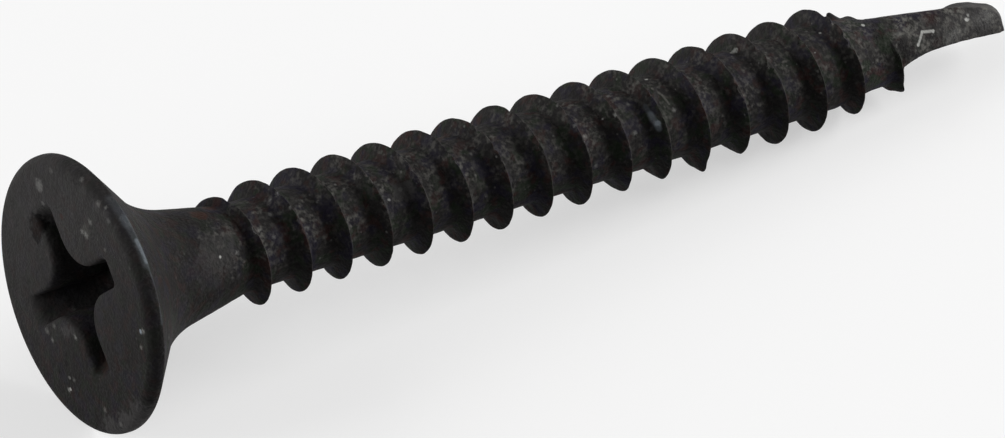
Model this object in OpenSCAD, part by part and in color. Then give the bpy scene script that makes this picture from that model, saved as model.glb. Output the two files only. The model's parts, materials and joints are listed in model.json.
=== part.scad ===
// Drywall screw: bugle head with a cross recess, single right-hand thread and a drill point.
// The screw lies on a flat surface, on the rim of its head and on its thread.
// Millimetres, +Z up. The screw's axis points along +X, from the head to the tip.

/* [Head] */
// Diameter over the rim of the head
head_d = 8.12; // [7.8:0.05:8.6]
// Radius of the rounded edge between the face and the rim
edge_r = 0.3; // [0.1:0.05:0.4]
// Thickness of the straight band of the rim
rim_land = 0.12; // [0.06:0.01:0.3]
// Angle between the underside of the head and the axis
flare_angle = 47; // [42:1:52]
// Radius of the concave blend from the underside into the neck
blend_r = 3; // [1.5:0.1:4]

/* [Neck] */
// Diameter at which the neck meets the underside of the head, before the blend
neck_d = 3.82; // [3.4:0.01:4]
// Angle between the side of the neck and the axis
neck_taper = 11.3; // [9:0.1:14]

/* [Cross recess] */
// Width of the recess over opposite wings, at the face
recess_w = 4.9; // [4.2:0.1:5.2]
// Width over opposite wings at their foot
recess_foot_w = 1.9; // [1.4:0.1:2.4]
// Width of a wing
wing_w = 0.84; // [0.6:0.02:1]
// Radius of the rounded inner corners between the wings
corner_r = 1.1; // [0.4:0.1:1.3]
// Depth of the wings
wing_depth = 1.9; // [1.4:0.1:2.1]
// Depth of the pointed middle of the recess
recess_depth = 2.35; // [2.2:0.05:2.6]
// Turn of the wings about the axis
recess_turn = 45; // [0:1:89]
// Distance of the middle of the recess from the axis, sideways
recess_shift_y = 0.15; // [-0.3:0.05:0.3]
// Distance of the middle of the recess from the axis, upwards
recess_shift_z = 0.1; // [-0.3:0.05:0.3]

/* [Thread] */
// Diameter over the crests of the thread
thread_d = 3.48; // [3.3:0.01:3.7]
// Diameter of the core between the crests
core_d = 2.52; // [2.4:0.01:2.7]
// Distance from one crest to the next
pitch = 1.378; // [1.25:0.001:1.6]
// Width of the crest
crest_w = 0.08; // [0.04:0.01:0.2]
// Width of the flank that faces the head
head_flank_w = 0.24; // [0.15:0.01:0.4]
// Width of the flank that faces the tip
tip_flank_w = 0.31; // [0.15:0.01:0.4]
// Distance from the face to the start of the thread
thread_start = 4.4; // [4.2:0.1:12]
// Length from the last crest of full height to the tip
unthreaded_l = 6.32; // [6.2:0.02:10]
// Place of a crest, as a share of the pitch
crest_phase = 0.528; // [0:0.002:1]

/* [Drill point] */
// Length of the screw from the face to the tip
screw_l = 32.17; // [26:0.01:45]
// Diameter over the cutting edges
drill_d = 2.22; // [2.1:0.02:2.5]
// Length from the tip to where the core is down to that diameter
drill_l = 4.94; // [4.6:0.02:5.6]
// Thickness of the web between the flutes
web_t = 0.86; // [0.7:0.02:1.2]
// Length of the hollow flute, from the tip to the step at its end
hollow_l = 4.18; // [3.6:0.02:4.4]
// Length over which the hollow flute is cut to full depth
hollow_full_l = 2.97; // [2:0.01:3.2]
// Radius with which the hollow flute runs out towards the thread
hollow_r = 3.3; // [2:0.1:6]
// Length of the sloping flute on the other side, from the tip
slope_l = 5.04; // [4.4:0.02:5.2]
// Length over which the sloping flute is cut to full depth
slope_full_l = 1.16; // [1:0.02:2.4]
// Angle between the sloping flute and the axis
slope_angle = 9; // [4:0.5:12]
// Angle between the cutting edges
point_angle = 116; // [100:2:140]
// Radius of the rounded heel behind each cutting edge
heel_r = 0.9; // [0.6:0.05:1.2]
// Turn of the web about the axis
web_turn = 145; // [0:1:179]

/* [Hidden] */
$fn = 96;

head_r = head_d / 2;
core_r = core_d / 2;
drill_r = drill_d / 2;

// Corner where the straight underside and the straight side of the neck would meet
corner_rad = neck_d / 2;
corner_z = edge_r + rim_land + (head_r - corner_rad) / tan(flare_angle);
// Place where the tapered neck reaches the core's diameter
neck_end_z = corner_z + (corner_rad - core_r) / tan(neck_taper);

// The rounded heels take the very top off the point, so its slopes are cut this much further out
heel_y = heel_r - web_t / 2;
point_over = (heel_r - sqrt(heel_r * heel_r - heel_y * heel_y)) / sin(point_angle / 2);

// The body under the thread: tapered neck, straight core, and a taper over one pitch to the drill
drill_z = screw_l - drill_l;
core_taper_z = drill_z - pitch;
function body_r(z) = z < neck_end_z ? core_r + (neck_end_z - z) * tan(neck_taper)
    : z < core_taper_z ? core_r
    : core_r + (drill_r - core_r) * min(1, (z - core_taper_z) / (drill_z - core_taper_z));

// The thread is counted in turns. It rises and falls over these shares of a turn
turn_steps = 28;
thread_rise = 0.9;
thread_fall = 0.9;
// The ridge swells once more, to a short stub of this share of its height, just before the flutes
stub_rise = 0.38;
stub_fall = 0.08;
stub_h = 0.8;
// Before, between and after these it stays as a faint line
least_rise = 0.04;

thread_h = thread_d / 2 - core_r;
first_turn = ceil((thread_start / pitch - crest_phase) * turn_steps) / turn_steps;
low_turn = (screw_l - unthreaded_l) / pitch - crest_phase + thread_fall;
last_turn = ceil((low_turn + stub_rise + stub_fall) * turn_steps) / turn_steps;
steps = round((last_turn - first_turn) * turn_steps);

function turn_at(i) = first_turn + i / turn_steps;
function crest_z(turn) = pitch * (turn + crest_phase);
function stub(turn) = stub_h * min((turn - low_turn) / stub_rise, (last_turn - turn) / stub_fall);
function rise(turn) = max(least_rise, stub(turn),
    min(1, (turn - first_turn) / thread_rise, (low_turn - turn) / thread_fall));
function place(turn, r, z) = [r * cos(360 * turn), r * sin(360 * turn), z];

// Section of the thread at one angle: foot, crest, crest, foot, from the head side to the tip side
function section(turn) =
    let (z = crest_z(turn), s = rise(turn), half = crest_w / 2)
    let (z_low = z - half - s * head_flank_w, z_high = z + half + s * tip_flank_w)
    let (top = body_r(z) + s * thread_h)
    [
        place(turn, body_r(z_low), z_low),
        place(turn, top, z - half),
        place(turn, top, z + half),
        place(turn, body_r(z_high), z_high)
    ];

// The threaded stretch ends in flat faces, a little inside the neck and the drill point
ridge_gap = 0.3 * pitch;
seat = 0.1;
seat_step = 0.01;
neck_cut_z = crest_z(first_turn) - ridge_gap;
stretch_end = crest_z(last_turn) + ridge_gap;
drill_start = stretch_end - seat;

// Ring of points around the core at one of the two ends, which starts at the given step
function ring(first, z) = [for (i = [0:turn_steps - 1])
    place(turn_at(first + i), body_r(z) - seat_step, z)];

// Two triangles that fill the gap between four points
function strip(a, b, c, d) = [[a, b, c], [a, c, d]];

// The threaded stretch as one closed surface, with its core and its single ridge. Point 4 * i + j
// is corner j of the thread's section at step i, and the two rings of the ends come after them
module threaded_stretch() {
    n = turn_steps;
    ring_a = 4 * (steps + 1);
    ring_b = ring_a + n;
    sections = [for (i = [0:steps]) each section(turn_at(i))];
    points = concat(sections, ring(0, neck_cut_z - seat), ring(steps, stretch_end));
    ridge = [for (i = [0:steps - 1]) for (j = [0:2])
        each strip(4 * i + j, 4 * i + j + 1, 4 * i + j + 5, 4 * i + j + 4)];
    root = [for (i = [0:steps - n - 1])
        each strip(4 * i + 3, 4 * (i + n), 4 * (i + n + 1), 4 * i + 7)];
    start = [for (i = [0:n - 2])
        each strip(ring_a + i, 4 * i, 4 * i + 4, ring_a + i + 1)];
    a = ring_a + n - 1;
    start_seam = [[a, 0, ring_a], [a, 3, 0], [a, 4 * n, 3], [a, 4 * n - 4, 4 * n]];
    m = steps - n;
    finish = [for (i = [m + 1:steps - 1])
        each strip(4 * i + 3, ring_b + (i - m) % n, ring_b + (i + 1 - m) % n, 4 * i + 7)];
    b = ring_b + 1;
    p = 4 * m + 3;
    q = 4 * steps;
    end_seam = [[p, b, p + 4], [p, q, b], [q, q + 3, b], [q + 3, ring_b, b]];
    caps = [
        [3, 2, 1], [3, 1, 0],
        [q, q + 1, q + 2], [q, q + 2, q + 3],
        [for (i = [0:n - 1]) ring_a + i],
        [for (i = [n - 1:-1:0]) ring_b + i]
    ];
    polyhedron(points, concat(ridge, root, start, start_seam, finish, end_seam, caps));
}

// Half section of the head and the neck, from the face to the threaded stretch
module head_section() {
    d_flare = [sin(flare_angle), -cos(flare_angle)];
    d_neck = [-sin(neck_taper), cos(neck_taper)];
    half_angle = 90 - (flare_angle - neck_taper) / 2;
    corner = [corner_rad, corner_z];
    touch_flare = corner + d_flare * blend_r / tan(half_angle);
    touch_neck = corner + d_neck * blend_r / tan(half_angle);
    out = (d_flare + d_neck) / norm(d_flare + d_neck);
    centre = corner + out * blend_r / sin(half_angle);
    plain_core = neck_end_z < neck_cut_z ? [[core_r, neck_end_z]] : [];
    difference() {
        union() {
            polygon(concat(
                [[0, 0], [head_r, 0], [head_r, edge_r + rim_land], corner],
                plain_core,
                [[body_r(neck_cut_z), neck_cut_z], [0, neck_cut_z]]
            ));
            difference() {
                polygon([corner, touch_flare, centre, touch_neck]);
                translate(centre) circle(r = blend_r);
            }
        }
        difference() {
            translate([head_r - edge_r, -edge_r]) square([2 * edge_r, 2 * edge_r]);
            translate([head_r - edge_r, edge_r]) circle(r = edge_r);
        }
    }
}

// Outline of the cross seen from the face, with rounded inner corners
module cross_outline(reach) {
    for (k = [0:3]) rotate(90 * k) {
        translate([0, -wing_w / 2]) square([reach, wing_w]);
        translate([wing_w / 2, wing_w / 2]) difference() {
            square(corner_r);
            translate([corner_r, corner_r]) circle(r = corner_r);
        }
    }
}

// Block whose two ends slope inwards with depth, from a little above the face to the wings' foot
module wing_slope(wide, above) {
    foot = recess_foot_w / 2;
    rotate([90, 0, 0]) linear_extrude(2 * wide, center = true)
        polygon([[-wide, -above], [wide, -above], [foot, wing_depth], [-foot, wing_depth]]);
}

// Wings whose ends slope inwards with depth, and a shallow cone in the middle
module recess() {
    above = 0.5;
    cone_top_z = wing_depth - 0.1;
    cone_r = recess_foot_w / 2 - 0.05;
    slope = (recess_w - recess_foot_w) / 2 / wing_depth;
    wide = recess_w / 2 + slope * above;
    translate([recess_shift_y, recess_shift_z, 0]) rotate(recess_turn) {
        intersection() {
            translate([0, 0, -above]) linear_extrude(wing_depth + above) cross_outline(wide);
            wing_slope(wide, above);
            rotate(90) wing_slope(wide, above);
        }
        translate([0, 0, cone_top_z]) cylinder(h = recess_depth - cone_top_z, r1 = cone_r, r2 = 0);
    }
}

// Cutter across the drill point, from an outline drawn in the plane through the axis
module across() {
    rotate([90, 0, 90]) linear_extrude(2 * thread_d, center = true) children();
}

// Hollow flute that is cut to full depth in an arc, with a step towards the thread
module hollow_flute() {
    floor_y = web_t / 2;
    full_z = screw_l - hollow_full_l;
    across() {
        translate([floor_y, full_z]) square([thread_d, screw_l]);
        intersection() {
            translate([floor_y + hollow_r, full_z]) circle(r = hollow_r);
            translate([floor_y, screw_l - hollow_l]) square([thread_d, screw_l]);
        }
    }
}

// Flute on the other side, a flat that slopes down to full depth
module sloping_flute() {
    floor_y = web_t / 2;
    start_z = screw_l - slope_l;
    top_y = floor_y + (slope_l - slope_full_l) * tan(slope_angle);
    across() polygon([
        [floor_y, 2 * screw_l], [floor_y, screw_l - slope_full_l], [top_y, start_z],
        [2 * thread_d, start_z], [2 * thread_d, 2 * screw_l]
    ]);
}

// Space beyond one of the two cutting edges, with the rounded heel behind the edge
module point_cut() {
    translate([0, 0, screw_l + point_over]) rotate([0, 90 - point_angle / 2, 0]) across() {
        translate([-thread_d, 0]) square([2 * thread_d, thread_d]);
        difference() {
            translate([heel_y - thread_d, -heel_r]) square([thread_d, 2 * heel_r]);
            translate([heel_y, -heel_r]) circle(r = heel_r);
        }
    }
}

module screw_body() {
    difference() {
        union() {
            rotate_extrude() head_section();
            threaded_stretch();
            translate([0, 0, drill_start]) cylinder(h = screw_l - drill_start, r = drill_r);
        }
        recess();
        rotate(web_turn) {
            hollow_flute();
            point_cut();
        }
        rotate(web_turn + 180) {
            sloping_flute();
            point_cut();
        }
    }
}

// The screw lies on the back edge of its rim and on the lowest crest of its thread
rest_z = edge_r + rim_land;
low_turns = [for (i = [0:steps])
    if (round(turn_at(i) * turn_steps) % turn_steps == turn_steps * 3 / 4) turn_at(i)];
rest_tilt = min([for (t = low_turns)
    atan((head_r - body_r(crest_z(t)) - rise(t) * thread_h) / (crest_z(t) + crest_w / 2 - rest_z))]);
lift = head_r * cos(rest_tilt) + rest_z * sin(rest_tilt);
front_x = edge_r * cos(rest_tilt) - (head_r - edge_r) * sin(rest_tilt) - edge_r;
back_x = screw_l * cos(rest_tilt);

module screw() {
    color("#2f2e2d")
    translate([-(front_x + back_x) / 2, 0, lift])
    rotate([0, rest_tilt, 0])
    rotate([90, 0, 90])
    screw_body();
}

screw();
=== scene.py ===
"""Drywall screw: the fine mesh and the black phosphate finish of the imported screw, and its studio.

The screw is made in its own frame, in which its axis is Z, from the face of the head at 0 to the
tip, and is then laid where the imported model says. Its body is a grid of columns around the axis and
rows along it, shaped by Geometry Nodes. Python adds the cross recess and the marks of wear.
"""

import json
import math

import bmesh
import bpy
import numpy as np
from bpy.props import FloatProperty, FloatVectorProperty, IntProperty, PointerProperty
from mathutils import Matrix, Vector


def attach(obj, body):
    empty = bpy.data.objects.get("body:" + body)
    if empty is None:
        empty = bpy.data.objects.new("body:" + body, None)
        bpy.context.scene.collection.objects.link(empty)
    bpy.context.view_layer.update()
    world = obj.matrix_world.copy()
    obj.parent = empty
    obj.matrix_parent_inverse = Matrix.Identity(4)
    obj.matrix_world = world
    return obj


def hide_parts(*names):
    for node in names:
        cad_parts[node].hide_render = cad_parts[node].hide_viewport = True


bl_info = {
    "name": "Drywall Screw",
    "version": (1, 0, 0),
    "blender": (4, 5, 0),
    "location": "View3D > Sidebar > Screw",
    "description": "Makes a self-drilling drywall screw with a black phosphate finish",
    "category": "Add Mesh",
}

MM = 0.001

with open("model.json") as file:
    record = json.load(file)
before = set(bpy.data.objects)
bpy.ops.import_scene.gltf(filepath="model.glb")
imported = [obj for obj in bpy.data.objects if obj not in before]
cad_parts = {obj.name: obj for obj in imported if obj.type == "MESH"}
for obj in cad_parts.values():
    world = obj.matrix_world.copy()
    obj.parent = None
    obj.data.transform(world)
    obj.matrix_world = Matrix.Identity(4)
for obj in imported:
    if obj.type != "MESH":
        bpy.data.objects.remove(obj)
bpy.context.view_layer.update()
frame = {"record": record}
MOUNTS = {mount["name"]: mount for mount in frame["record"]["mounts"]}
TIP = Vector(MOUNTS["drill_point"]["pos_m"])
ALONG = Vector(MOUNTS["thread"]["axis"]).normalized()
FACE_MARK = Vector(MOUNTS["head_face"]["pos_m"])
PACKED_L = (TIP - FACE_MARK).dot(ALONG)
FACE_CENTRE = TIP - ALONG * PACKED_L

TURN = 2 * math.pi
PIECE = "drywall_screw"
CREST = "crest"
BEFORE = "before_ridge"
SHEARED = "sheared"
RULED = "ruled"


def length(name, description, default, low=0.0, high=100.0):
    """A size that is given in millimetres and kept in metres."""
    return FloatProperty(
        name=name, description=description, default=default * MM, min=low * MM, max=high * MM,
        unit="LENGTH", precision=5,
    )


def angle(name, description, default):
    """An angle that is given in degrees."""
    return FloatProperty(
        name=name, description=description, default=math.radians(default), subtype="ANGLE"
    )


def share(name, description, default, low=0.0, high=1.0):
    """A number without a unit."""
    return FloatProperty(name=name, description=description, default=default, min=low, max=high)


def colour(name, description, default):
    return FloatVectorProperty(
        name=name, description=description, default=default, size=3, min=0.0, max=1.0,
        subtype="COLOR",
    )


class HeadSize(bpy.types.PropertyGroup):
    head_d: length("Head diameter", "Diameter over the rim of the head", 8.24)
    edge_r: length("Edge radius", "Radius of the rounded edge of the face", 0.3)
    rim_land: length("Rim", "Thickness of the straight band of the rim", 0.12)
    back_r: length("Rim back radius", "Radius between the rim and the underside", 0.1)
    flare_angle: angle("Flare angle", "Angle between the underside and the axis", 50)
    blend_r: length("Blend radius", "Radius from the underside into the neck", 3.0)
    neck_d: length("Neck diameter", "Diameter at which neck and underside would meet", 3.84)
    neck_taper: angle("Neck taper", "Angle between the side of the neck and the axis", 11.5)
    shift: length("Shift upwards", "Distance of the head from the axis, upwards", 0.058, low=-1)
    tilt_x: share("Tilt sideways", "Slope of the face, sideways", 0.0064, low=-1.0)
    tilt_y: share("Tilt upwards", "Slope of the face, upwards", -0.0194, low=-1.0)


class RecessSize(bpy.types.PropertyGroup):
    width: length("Width", "Width over opposite wings, at the face", 5.14)
    foot_w: length("Foot width", "Width over opposite wings at their foot", 1.9)
    wing_w: length("Wing width", "Width of a wing, at the face", 0.87)
    side_slope: angle("Side slope", "Angle between the sides of a wing and the axis", 3)
    corner_r: length("Corner radius", "Radius of the inner corners between the wings", 1.1)
    end_r: length("End radius", "Radius of the two corners at the end of a wing", 0.2)
    mouth_r: length("Mouth radius", "Radius of the edge between face and recess", 0.12)
    wing_depth: length("Wing depth", "Depth of the wings", 1.9)
    depth: length("Depth", "Depth of the pointed middle", 2.35)
    turn: angle("Turn", "Turn of the wings about the axis", 45)
    shift_y: length("Shift sideways", "Distance from the axis, sideways", 0.1, low=-1)
    shift_z: length("Shift upwards", "Distance from the axis, upwards", 0.09, low=-1)


class ThreadSize(bpy.types.PropertyGroup):
    thread_d: length("Thread diameter", "Diameter over the crests", 3.54)
    core_d: length("Core diameter", "Diameter of the core between the crests", 2.6)
    pitch: length("Pitch", "Distance from one crest to the next", 1.3827)
    phase: share("Phase", "Place of a crest, as a share of the pitch", 0.506)
    crest_w: length("Crest width", "Width of the crest", 0.04)
    head_flank_w: length("Head flank", "Width of the flank that faces the head", 0.19)
    tip_flank_w: length("Tip flank", "Width of the flank that faces the tip", 0.25)
    start: length("Start", "Distance from the face to the start of the thread", 4.157)
    unthreaded_l: length("Unthreaded length", "From the last full crest to the tip", 6.076)
    rise: share("Rise", "Turns over which the thread rises from the neck", 1.15)
    fall: share("Fall", "Turns over which the thread falls towards the tip", 0.9)
    lead_from: share("Run-out", "Turn from which the crest runs out faster", 18.546, high=99)
    lead: share("Run-out lead", "How much faster it runs out, as a share of the pitch", 0.226)
    stub_flank_w: length("Stub flank", "Width of the flank of the stub that faces the head", 0.628)
    stub_h: share("Stub height", "Height of the stub, as a share of the thread's", 0.803)
    stub_rise: share("Stub rise", "Turns over which the stub rises", 0.369)
    stub_l: share("Stub length", "Turns over which the stub goes on", 0.421)
    stub_fall: share("Stub fall", "Turns over which the stub falls", 0.109)
    wobble: share("Wobble", "How much the height of the ridge varies", 0.12)
    tall: share("Tall side", "How much higher the ridge is on its tall side", 0.045)
    tall_turn: angle("Tall turn", "Turn of the tall side about the axis", 230)
    rough: share("Rough side", "How much lower the dents in the crest are on its rough side", 0.4)
    rough_turn: angle("Rough turn", "Turn of the rough side about the axis", 114)
    worn: share("Worn side", "How much lower the ridge is where it is worn", 0.1)
    worn_turn: angle("Worn turn", "Turn of the worn side about the axis", 275)
    worn_from: length("Worn from", "Height at which the worn stretch begins", 16.6)
    worn_to: length("Worn to", "Height at which the worn stretch ends", 23.4)
    lumps: length("Lumps", "Height of the lumps of the surface", 0.013)
    lump_w: length("Lump width", "Width of the lumps of the surface", 0.35)


class PointSize(bpy.types.PropertyGroup):
    screw_l: length("Screw length", "Length from the face to the tip", PACKED_L / MM + 0.122)
    drill_d: length("Drill diameter", "Diameter over the cutting edges", 2.23)
    drill_l: length("Drill length", "From the tip to where the core has that diameter", 5.0)
    web_t: length("Web", "Thickness of the web between the flutes", 0.893)
    droop: length("Droop", "How much the web thickens to one side, at the tip", 0.15)
    droop_l: length("Droop length", "Length over which the web thickens", 2.067)
    hollow_l: length("Hollow flute", "Length of the hollow flute, from the tip", 4.18)
    hollow_full_l: length("Full hollow flute", "Length over which it has full depth", 2.914)
    hollow_r: length("Hollow radius", "Radius with which the hollow flute runs out", 3.315)
    slope_l: length("Sloping flute", "Length of the sloping flute, from the tip", 5.16)
    slope_full_l: length("Full sloping flute", "Length over which it has full depth", 1.112)
    slope_angle: angle("Slope", "Angle between the sloping flute and the axis", 8.34)
    point_angle: angle("Point angle", "Angle between the cutting edges", 114.5)
    heel_r: length("Heel radius", "Radius of the heel behind each cutting edge", 0.575)
    heel_back: length("Heel setback", "Distance of the heel's start behind the web's face", 0.11)
    web_turn: angle("Web turn", "Turn of the web about the axis", 145.5)
    softness: length("Softness", "Rounding of the edges of the drill point", 0.1)


class MeshSize(bpy.types.PropertyGroup):
    columns: IntProperty(
        name="Columns", description="Columns around the axis", default=160, min=24, max=256
    )
    merge: length("Merge distance", "Distance below which two points are one", 0.0002)


class Finish(bpy.types.PropertyGroup):
    coat: colour("Coat", "Black phosphate", (0.0108, 0.0098, 0.0096))
    pale_coat: colour("Pale coat", "Lighter patches of the phosphate", (0.0445, 0.0425, 0.0425))
    green_tint: colour("Green tint", "Greenish patches of the phosphate", (0.0115, 0.0178, 0.0098))
    red_tint: colour("Red tint", "Reddish patches of the phosphate", (0.0275, 0.0125, 0.0113))
    blue_tint: colour("Blue tint", "Bluish patches of the phosphate", (0.013, 0.0112, 0.0215))
    dust: colour("Dust", "Pale specks of dust", (0.42, 0.42, 0.4))
    dusted: colour("Dusted coat", "Coat under fine dust", (0.115, 0.111, 0.102))
    # This deep coat is mostly painted shade: on the flanks of the thread, along the edge of the face, in the
    # recess and in the groove by the first ridge. Some small dark spots use it too.
    dark_coat_and_shade: colour("Deep coat", "Bare black coat on the flanks of the thread", (0.004, 0.0037, 0.0037))
    rust: colour("Rust", "Brown rust", (0.038, 0.0155, 0.0115))
    # Rubbed crests are wear. Shown only on the lower side, they also paint the light caught by the crest
    # edges.
    rubbed: colour("Rubbed crest", "Crests where the coat is rubbed thin", (0.055, 0.048, 0.043))
    # The scuff colour serves for scuffs and for the painted highlight along the back edge of the rim.
    scuff_and_highlight: colour("Scuff", "Bluish white scuffs", (0.3, 0.34, 0.38))
    # Flank shade sets how much painted shade lies on the flanks of the thread.
    flank_shade: share("Flank depth", "How much deep coat lies on the flanks of the thread", 0.36)
    # Edge shade sets how much painted shade lies along the edge of the face.
    edge_shade: share("Edge depth", "How much deep coat lies along the edge of the face", 0.4)
    # Face light sets how much pale coat stands in for light on the face.
    face_light: share("Pale face", "How much pale coat lies on the face", 0.62)
    # This sets how much pale coat lies between the ridges, where it also stands in for light.
    pale_and_lit_valley: share("Pale valleys", "How much pale coat lies between the ridges", 0.23)
    pale_point: share("Pale point", "How much pale coat lies on the drill point", 0.42)
    wear: share("Wear", "How much the crests are rubbed thin", 0.35)
    roughness: share("Roughness", "Roughness of the coat", 0.72)
    gloss: share("Gloss", "Specular level of the coat", 0.05)


class Stage(bpy.types.PropertyGroup):
    azimuth: angle("Azimuth", "Turn of the camera about Z, from a view along +Y", -33.7335)
    elevation: angle("Elevation", "Height of the camera above the horizon", 36.9219)
    roll: angle("Roll", "Roll of the camera about its view", -0.1271)
    distance: length("Distance", "Distance from the camera to its target", 376.967, high=2000)
    lens: FloatProperty(
        name="Lens", description="Focal length", default=468.232, subtype="DISTANCE_CAMERA"
    )
    target: FloatVectorProperty(
        name="Target", description="Point in the middle of the picture", size=3,
        default=(-1.68868 * MM, -0.62808 * MM, 1.34855 * MM), subtype="XYZ", unit="LENGTH",
    )
    floor: colour("Floor", "Colour of the floor", (0.5, 0.5, 0.5))
    floor_glow: share("Floor glow", "How much the floor lights up to the camera", 0.53)
    world_light: share("World light", "Strength of the light from all around", 0.15)


class ScrewSettings(bpy.types.PropertyGroup):
    head: PointerProperty(type=HeadSize, name="Head", description="Sizes of the head")
    recess: PointerProperty(type=RecessSize, name="Recess", description="Sizes of the recess")
    thread: PointerProperty(type=ThreadSize, name="Thread", description="Sizes of the thread")
    point: PointerProperty(type=PointSize, name="Point", description="Sizes of the drill point")
    mesh: PointerProperty(type=MeshSize, name="Mesh", description="Fineness of the mesh")
    finish: PointerProperty(type=Finish, name="Finish", description="Colours of the finish")
    stage: PointerProperty(type=Stage, name="Stage", description="Camera, floor and light")


def node_method(operation, swapped=False):
    """A method that joins a number and another value with a Math node."""

    def method(self, other):
        return maths(operation, other, self) if swapped else maths(operation, self, other)

    return method


class Num:
    """A number in a node tree, so that a rule of nodes can be written as a formula."""

    def __init__(self, tree, socket):
        self.tree = tree
        self.socket = socket

    __add__ = node_method("ADD")
    __radd__ = node_method("ADD", swapped=True)
    __sub__ = node_method("SUBTRACT")
    __rsub__ = node_method("SUBTRACT", swapped=True)
    __mul__ = node_method("MULTIPLY")
    __rmul__ = node_method("MULTIPLY", swapped=True)
    __truediv__ = node_method("DIVIDE")
    __rtruediv__ = node_method("DIVIDE", swapped=True)

    def __neg__(self):
        return maths("MULTIPLY", self, -1.0)


def maths(operation, *values):
    """One Math node on numbers and plain values."""
    tree = next(v.tree for v in values if isinstance(v, Num))
    node = tree.nodes.new("ShaderNodeMath")
    node.operation = operation
    for slot, value in zip(node.inputs, values):
        plug(tree, value, slot)
    return Num(tree, node.outputs[0])


def plug(tree, value, slot):
    """Links a number or a socket to an input, or sets the input to a plain value."""
    if isinstance(value, Num):
        value = value.socket
    if isinstance(value, bpy.types.NodeSocket):
        tree.links.new(value, slot)
    else:
        slot.default_value = value


def least(*values):
    result = values[0]
    for value in values[1:]:
        result = maths("MINIMUM", result, value)
    return result


def most(a, b):
    return maths("MAXIMUM", a, b)


def clamped(a):
    return least(most(a, 0.0), 1.0)


def smooth_step(a):
    """Runs smoothly from 0 to 1 while a does."""
    t = clamped(a)
    return t * t * (3.0 - 2.0 * t)


def ramp(a, start, width):
    """Runs smoothly from 0 at the start to 1 at this distance past it."""
    return smooth_step((a - start) / width)


def node_in(tree, kind, inputs=None, **settings):
    """A node with its settings, and its inputs by name or number."""
    node = tree.nodes.new(kind)
    for name, value in settings.items():
        setattr(node, name, value)
    for name, value in (inputs or {}).items():
        plug(tree, value, node.inputs[name])
    return node


def vector_maths(tree, operation, *values):
    """One Vector Math node: its vector, or its number where the operation gives one."""
    node = node_in(tree, "ShaderNodeVectorMath", dict(enumerate(values)), operation=operation)
    if operation in ("DOT_PRODUCT", "DISTANCE"):
        return Num(tree, node.outputs["Value"])
    return node.outputs[0]


def scaled(tree, vector, factor):
    node = node_in(tree, "ShaderNodeVectorMath", {0: vector, "Scale": factor}, operation="SCALE")
    return node.outputs[0]


def noise(tree, place, scale, detail):
    node = node_in(
        tree, "ShaderNodeTexNoise", {"Vector": place, "Scale": scale, "Detail": detail}
    )
    return Num(tree, node.outputs[0])


def neck_corner(head):
    """Radius and height of the corner where the underside and the neck would meet."""
    radius = head.neck_d / 2
    rim = head.edge_r + head.rim_land
    return radius, rim + (head.head_d / 2 - radius) / math.tan(head.flare_angle)


def arc(centre, radius, first, last, count):
    """Points on an arc in the plane of radius and height, with both ends."""
    return [
        (centre[0] + radius * math.cos(a), centre[1] + radius * math.sin(a))
        for a in np.linspace(first, last, count)
    ]


def fillet(before, corner, after, radius, count):
    """Arc that rounds the corner between two straight stretches."""
    a = (Vector(before) - Vector(corner)).normalized()
    b = (Vector(after) - Vector(corner)).normalized()
    half = a.angle(b) / 2
    centre = Vector(corner) + (a + b).normalized() * (radius / math.sin(half))
    first = Vector(corner) + a * (radius / math.tan(half)) - centre
    last = Vector(corner) + b * (radius / math.tan(half)) - centre
    turn = first.angle_signed(last)
    return [
        tuple(centre + Matrix.Rotation(-turn * t, 2) @ first) for t in np.linspace(0, 1, count)
    ]


FACE_RING = 2.9 * MM
THREAD_FROM = 4.0 * MM
STEP_WALL = 0.004 * MM
FACE_STEP = 0.15 * MM
CREST_STEP = 0.03 * MM
FLANK_STEP = 0.07 * MM
ROOT_STEP = 0.085 * MM
FOOT_GAP = 0.03 * MM
POINT_STEP = 0.05 * MM
TIP_STEP = 0.025 * MM
TIP_STRETCH = 0.9 * MM
EDGE_ROWS = 9
BACK_ROWS = 5
UNDER_ROWS = 12
BLEND_ROWS = 15
NECK_ROWS = 8
RECESS_POINTS = 288
RECESS_STEP = 0.12 * MM
FLOOR_RINGS = (0.8, 0.55, 0.3, 0.1)


def spaced(first, last, step):
    """Values from first to last, both ends included, at most a step apart."""
    return list(np.linspace(first, last, max(2, math.ceil(abs(last - first) / step) + 1)))


def straight(first, last, count):
    """Points on a straight stretch, without its first end."""
    return [tuple(Vector(first).lerp(Vector(last), t)) for t in np.linspace(0, 1, count)[1:]]


def head_rows(head):
    """Radius and height of each row of the head and the neck, from the face to the thread."""
    face_edge = head.head_d / 2 - head.edge_r
    rim_z = head.edge_r + head.rim_land
    corner = neck_corner(head)
    neck_r = corner[0] - (THREAD_FROM - corner[1]) * math.tan(head.neck_taper)
    rows = [(r, 0.0) for r in spaced(FACE_RING, face_edge, FACE_STEP)[:-1]]
    rows += arc((face_edge, head.edge_r), head.edge_r, -math.pi / 2, 0, EDGE_ROWS)
    rim = (head.head_d / 2, rim_z)
    back = fillet((head.head_d / 2, 0), rim, corner, head.back_r, BACK_ROWS)
    blend = fillet(rim, corner, (neck_r, THREAD_FROM), head.blend_r, BLEND_ROWS)
    under = straight(back[-1], blend[0], UNDER_ROWS)[:-1]
    neck = straight(blend[-1], (neck_r, THREAD_FROM), NECK_ROWS)
    return rows + back + under + blend + neck


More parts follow.
